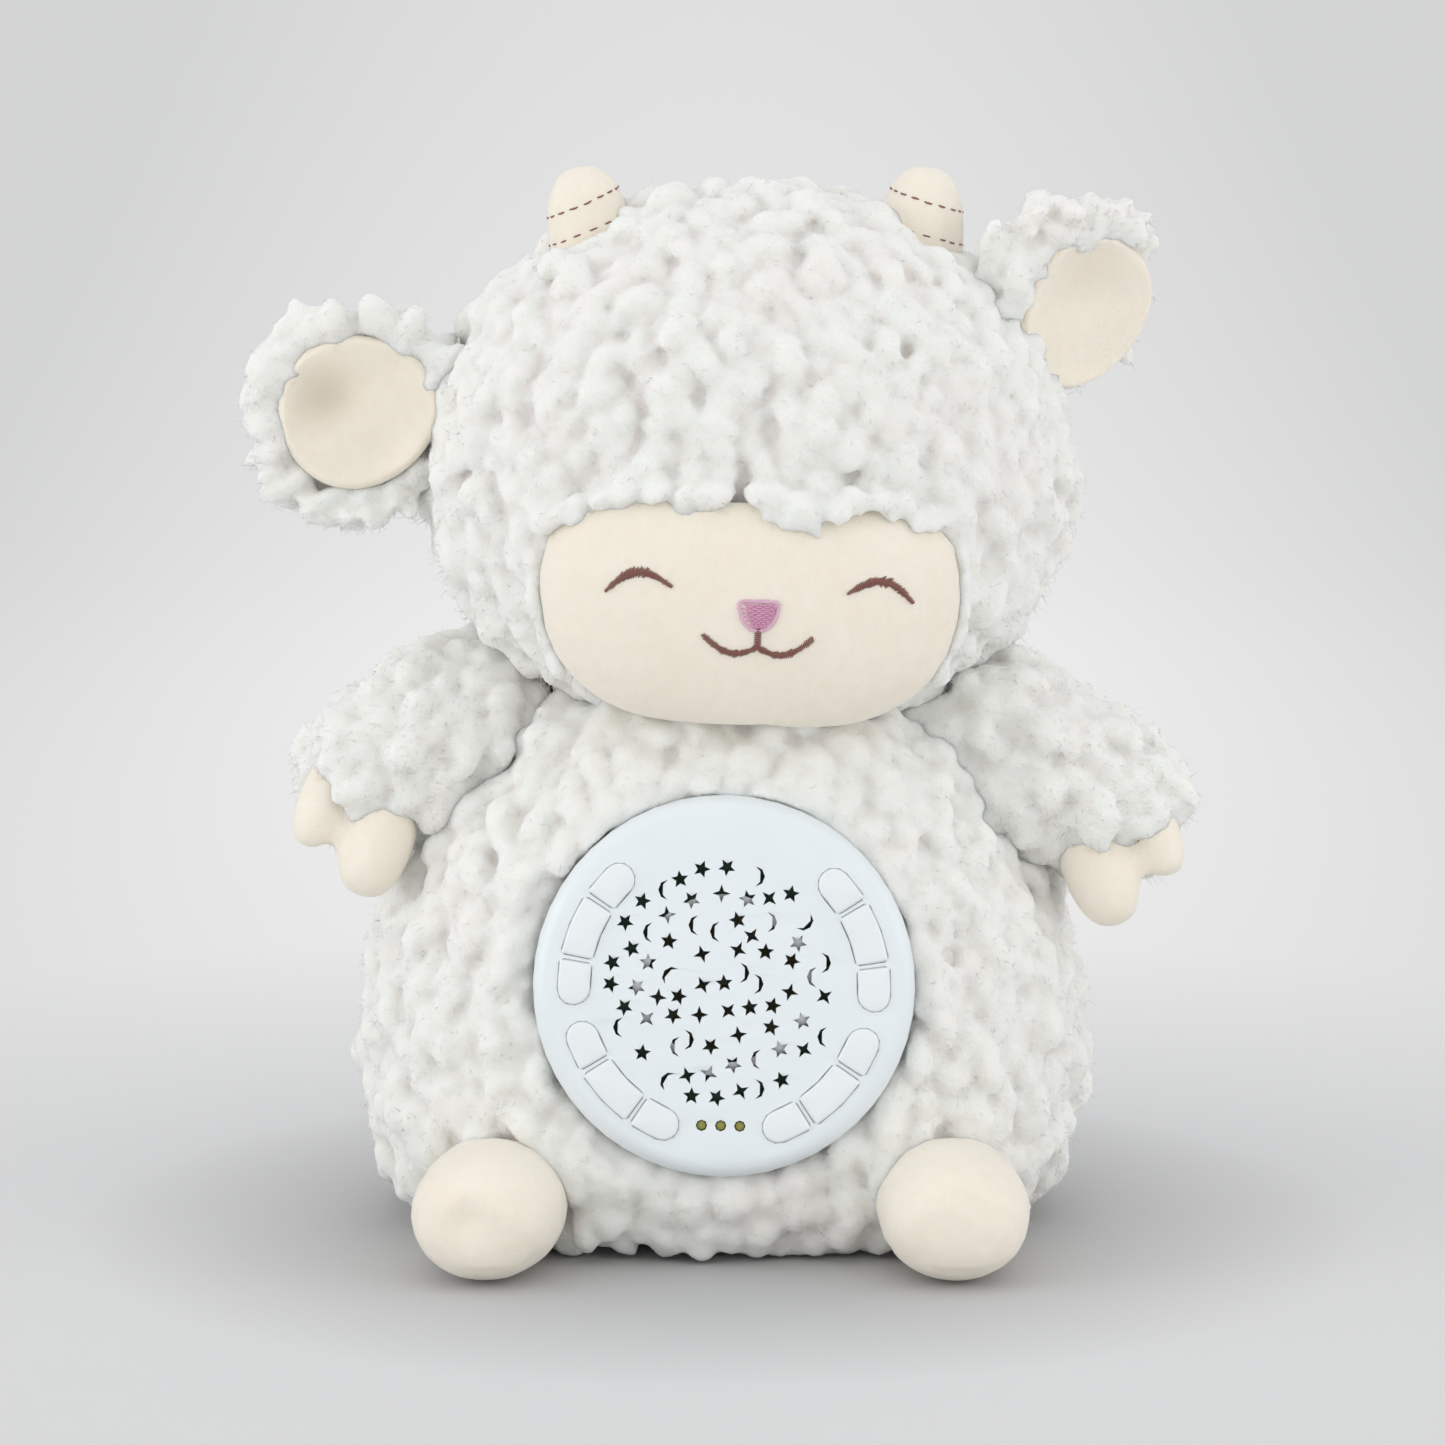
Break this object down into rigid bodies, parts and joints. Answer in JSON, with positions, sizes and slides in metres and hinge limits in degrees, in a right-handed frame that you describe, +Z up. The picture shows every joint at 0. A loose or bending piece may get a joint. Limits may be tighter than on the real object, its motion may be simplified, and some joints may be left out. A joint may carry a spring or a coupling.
{
  "type": "plush night light",
  "caption": "Seated stuffed lamb with floppy ears, small horns and a round belly module: pierced speaker and light cover, press caps, board, battery and rear closure.",
  "frame": {"origin": "on the floor under the middle of the seated body", "axes": "+X to the viewer's right, -Y out of the face and the belly module, +Z up"},
  "size_m": [0.246, 0.1726, 0.2842],
  "materials": {
    "fleece": "off-white tufted fleece",
    "velboa": "cream short-pile velboa",
    "brown_thread": "satin stitch in brown thread",
    "pink_thread": "satin stitch in pink thread",
    "closure_tape": "off-white hook and loop tape",
    "white_plastic": "cool white moulding, satin",
    "cap_plastic": "cool white cap, satin",
    "lamp_lens": "olive light window",
    "board": "green solder mask",
    "steel": "plated steel",
    "mylar": "olive mylar cone",
    "ferrite": "dark ferrite",
    "battery_foil": "silver pouch foil"
  },
  "bodies": {
    "toy": {"body": "fleece", "head": "fleece", "face_panel": "velboa", "eye_left": "brown_thread", "eye_right": "brown_thread", "nose": "pink_thread", "mouth": "brown_thread", "foot_left": "velboa", "foot_right": "velboa", "closure_hook_tape": "closure_tape", "closure_loop_tape": "closure_tape", "horn_left": "velboa", "horn_right": "velboa", "front_cover": "white_plastic", "indicator_light_1": "lamp_lens", "indicator_light_2": "lamp_lens", "indicator_light_3": "lamp_lens", "main_board": "board", "speaker_frame": "steel", "speaker_cone": "mylar", "speaker_magnet": "ferrite", "rear_housing": "white_plastic", "housing_screw_1": "steel", "housing_screw_2": "steel", "housing_screw_3": "steel", "charging_socket": "steel", "battery_cell": "battery_foil"},
    "arm_left": {"arm_left": "fleece", "hand_left": "velboa"},
    "arm_right": {"arm_right": "fleece", "hand_right": "velboa"},
    "ear_left": {"ear_left": "fleece", "ear_left_lining": "velboa"},
    "ear_right": {"ear_right": "fleece", "ear_right_lining": "velboa"},
    "button_left_1": {"button_left_1": "cap_plastic"},
    "button_left_2": {"button_left_2": "cap_plastic"},
    "button_left_3": {"button_left_3": "cap_plastic"},
    "button_left_4": {"button_left_4": "cap_plastic"},
    "button_left_5": {"button_left_5": "cap_plastic"},
    "button_left_6": {"button_left_6": "cap_plastic"},
    "button_right_1": {"button_right_1": "cap_plastic"},
    "button_right_2": {"button_right_2": "cap_plastic"},
    "button_right_3": {"button_right_3": "cap_plastic"},
    "button_right_4": {"button_right_4": "cap_plastic"},
    "button_right_5": {"button_right_5": "cap_plastic"},
    "button_right_6": {"button_right_6": "cap_plastic"}
  },
  "joints": [
    {"name": "shoulder_left", "type": "hinge", "parent": "toy", "child": "arm_left", "pos_m": [-0.061, -0.002, 0.133], "axis": [0, 1, 0], "range_deg": [-4, 20], "stiffness_Nm_per_rad": 0.3},
    {"name": "shoulder_right", "type": "hinge", "parent": "toy", "child": "arm_right", "pos_m": [0.061, -0.002, 0.133], "axis": [0, 1, 0], "range_deg": [-20, 4], "stiffness_Nm_per_rad": 0.3},
    {"name": "ear_left_flop", "type": "hinge", "parent": "toy", "child": "ear_left", "pos_m": [-0.072, -0.003, 0.22695], "axis": [0, 1, 0], "range_deg": [-20, 20], "stiffness_Nm_per_rad": 0.1},
    {"name": "ear_right_flop", "type": "hinge", "parent": "toy", "child": "ear_right", "pos_m": [0.07999, -0.003, 0.22506], "axis": [0, 1, 0], "range_deg": [-20, 20], "stiffness_Nm_per_rad": 0.1},
    {"name": "press_left_1", "type": "slide", "parent": "toy", "child": "button_left_1", "axis": [0, 0.9903, -0.1392], "range_m": [0, 0.0008], "stiffness_N_per_m": 250},
    {"name": "press_left_2", "type": "slide", "parent": "toy", "child": "button_left_2", "axis": [0, 0.9903, -0.1392], "range_m": [0, 0.0008], "stiffness_N_per_m": 250},
    {"name": "press_left_3", "type": "slide", "parent": "toy", "child": "button_left_3", "axis": [0, 0.9903, -0.1392], "range_m": [0, 0.0008], "stiffness_N_per_m": 250},
    {"name": "press_left_4", "type": "slide", "parent": "toy", "child": "button_left_4", "axis": [0, 0.9903, -0.1392], "range_m": [0, 0.0008], "stiffness_N_per_m": 250},
    {"name": "press_left_5", "type": "slide", "parent": "toy", "child": "button_left_5", "axis": [0, 0.9903, -0.1392], "range_m": [0, 0.0008], "stiffness_N_per_m": 250},
    {"name": "press_left_6", "type": "slide", "parent": "toy", "child": "button_left_6", "axis": [0, 0.9903, -0.1392], "range_m": [0, 0.0008], "stiffness_N_per_m": 250},
    {"name": "press_right_1", "type": "slide", "parent": "toy", "child": "button_right_1", "axis": [0, 0.9903, -0.1392], "range_m": [0, 0.0008], "stiffness_N_per_m": 250},
    {"name": "press_right_2", "type": "slide", "parent": "toy", "child": "button_right_2", "axis": [0, 0.9903, -0.1392], "range_m": [0, 0.0008], "stiffness_N_per_m": 250},
    {"name": "press_right_3", "type": "slide", "parent": "toy", "child": "button_right_3", "axis": [0, 0.9903, -0.1392], "range_m": [0, 0.0008], "stiffness_N_per_m": 250},
    {"name": "press_right_4", "type": "slide", "parent": "toy", "child": "button_right_4", "axis": [0, 0.9903, -0.1392], "range_m": [0, 0.0008], "stiffness_N_per_m": 250},
    {"name": "press_right_5", "type": "slide", "parent": "toy", "child": "button_right_5", "axis": [0, 0.9903, -0.1392], "range_m": [0, 0.0008], "stiffness_N_per_m": 250},
    {"name": "press_right_6", "type": "slide", "parent": "toy", "child": "button_right_6", "axis": [0, 0.9903, -0.1392], "range_m": [0, 0.0008], "stiffness_N_per_m": 250}
  ]
}
